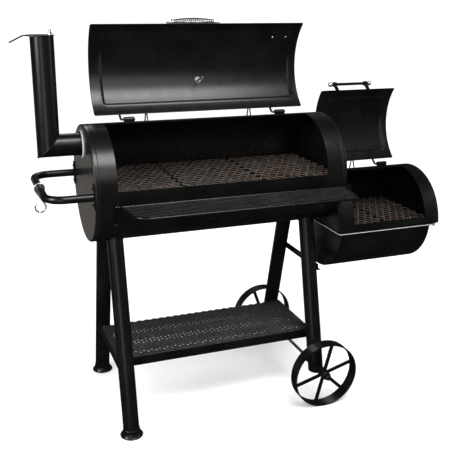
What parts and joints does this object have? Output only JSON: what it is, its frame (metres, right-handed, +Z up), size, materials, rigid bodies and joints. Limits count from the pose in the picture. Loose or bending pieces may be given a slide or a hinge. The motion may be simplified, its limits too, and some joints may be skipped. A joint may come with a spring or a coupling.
{
  "type": "offset smoker",
  "caption": "Barrel smoker grill with a lower side firebox, hinged lids, chimney with damper, fold-down front shelf, lower rack, splayed legs and spoked wheels.",
  "frame": {"origin": "on the floor, at the middle of the footprint", "axes": "+X along the barrel towards the firebox, +Y towards the back where the lids hinge, +Z up; the front shelf is on the -Y side"},
  "size_m": [1.5764, 0.7, 1.4056],
  "materials": {
    "black_paint": "satin black heat-resistant paint",
    "end_paint": "smooth semi-gloss black heat-resistant paint",
    "black_mesh": "black paint on expanded metal",
    "grate_steel": "bare expanded steel, dull brown-grey",
    "chrome": "bright plated",
    "zinc_steel": "dull zinc-plated steel",
    "bare_lip": "bare bright steel edge",
    "gauge_steel": "satin stainless with a pale dial",
    "badge_plate": "satin blank plate"
  },
  "bodies": {
    "smoker": {"axle": "zinc_steel", "axle_fasteners": "black_paint", "barrel_bolts": "black_paint", "barrel_end_left": "end_paint", "barrel_end_right": "end_paint", "barrel_tube": "black_paint", "damper_bolt": "chrome", "firebox_end": "end_paint", "firebox_grate_left": "grate_steel", "firebox_grate_right": "grate_steel", "firebox_knuckles": "black_paint", "firebox_lid_stop": "black_paint", "firebox_lip": "bare_lip", "firebox_shell": "black_paint", "firebox_trough": "black_paint", "flue_collar": "bare_lip", "flue_pipe": "black_paint", "foot_back": "black_paint", "foot_front": "black_paint", "frame_bolts": "black_paint", "grate_left": "grate_steel", "grate_middle": "grate_steel", "grate_right": "grate_steel", "leg_back_left": "black_paint", "leg_back_right": "black_paint", "leg_brace": "black_paint", "leg_front_left": "black_paint", "leg_front_right": "black_paint", "lid_knuckles": "black_paint", "lid_stops": "black_paint", "rack_frame": "black_paint", "rack_mesh": "black_mesh", "shelf_plate_left": "black_paint", "shelf_plate_right": "black_paint", "side_handle": "black_paint", "stack_pipe": "black_paint", "vent_bolt": "chrome"},
    "lid": {"lid_shell": "black_paint", "lid_handle_rod": "chrome", "lid_handle_coil": "chrome", "lid_gauge": "gauge_steel", "lid_badge": "badge_plate", "lid_screws": "chrome", "lid_hinge_pins": "black_paint"},
    "firebox_lid": {"firebox_lid_shell": "black_paint", "firebox_handle_bar": "black_paint", "firebox_handle_knobs": "chrome", "firebox_handle_brackets": "black_paint", "firebox_lid_pins": "black_paint", "firebox_lid_bolts": "black_paint"},
    "damper": {"damper_plate": "black_paint"},
    "vent": {"vent_flap": "black_paint"},
    "hook": {"s_hook": "chrome"},
    "shelf": {"shelf_frame": "black_paint", "shelf_mesh": "black_mesh"},
    "front_wheel": {"wheel_front": "black_paint", "hub_front": "black_paint"},
    "back_wheel": {"wheel_back": "black_paint", "hub_back": "black_paint"}
  },
  "joints": [
    {"name": "lid_hinge", "type": "hinge", "parent": "smoker", "child": "lid", "pos_m": [-0.12022, 0.0635, 1.0661], "axis": [1, 0, 0], "range_deg": [0, 132.5]},
    {"name": "firebox_lid_hinge", "type": "hinge", "parent": "smoker", "child": "firebox_lid", "pos_m": [0.54178, 0.0635, 0.8336], "axis": [1, 0, 0], "range_deg": [0, 132.5]},
    {"name": "damper_swivel", "type": "hinge", "parent": "smoker", "child": "damper", "pos_m": [-0.65822, 0.0295, 1.353], "axis": [0, 0, 1], "range_deg": [0, 110]},
    {"name": "vent_swivel", "type": "hinge", "parent": "smoker", "child": "vent", "pos_m": [0.76678, -0.0525, 0.773], "axis": [1, 0, 0], "range_deg": [0, 100]},
    {"name": "hook_swing", "type": "hinge", "parent": "smoker", "child": "hook", "pos_m": [-0.72722, 0.0075, 0.858], "axis": [0, 1, 0], "range_deg": [-60, 60]},
    {"name": "shelf_fold", "type": "hinge", "parent": "smoker", "child": "shelf", "pos_m": [-0.08222, -0.1925, 0.824], "axis": [1, 0, 0], "range_deg": [0, 90]},
    {"name": "front_wheel_spin", "type": "hinge", "parent": "smoker", "child": "front_wheel", "pos_m": [0.24178, -0.2725, 0.126], "axis": [0, 1, 0], "continuous": true},
    {"name": "back_wheel_spin", "type": "hinge", "parent": "smoker", "child": "back_wheel", "pos_m": [0.24178, 0.3075, 0.126], "axis": [0, 1, 0], "continuous": true}
  ]
}
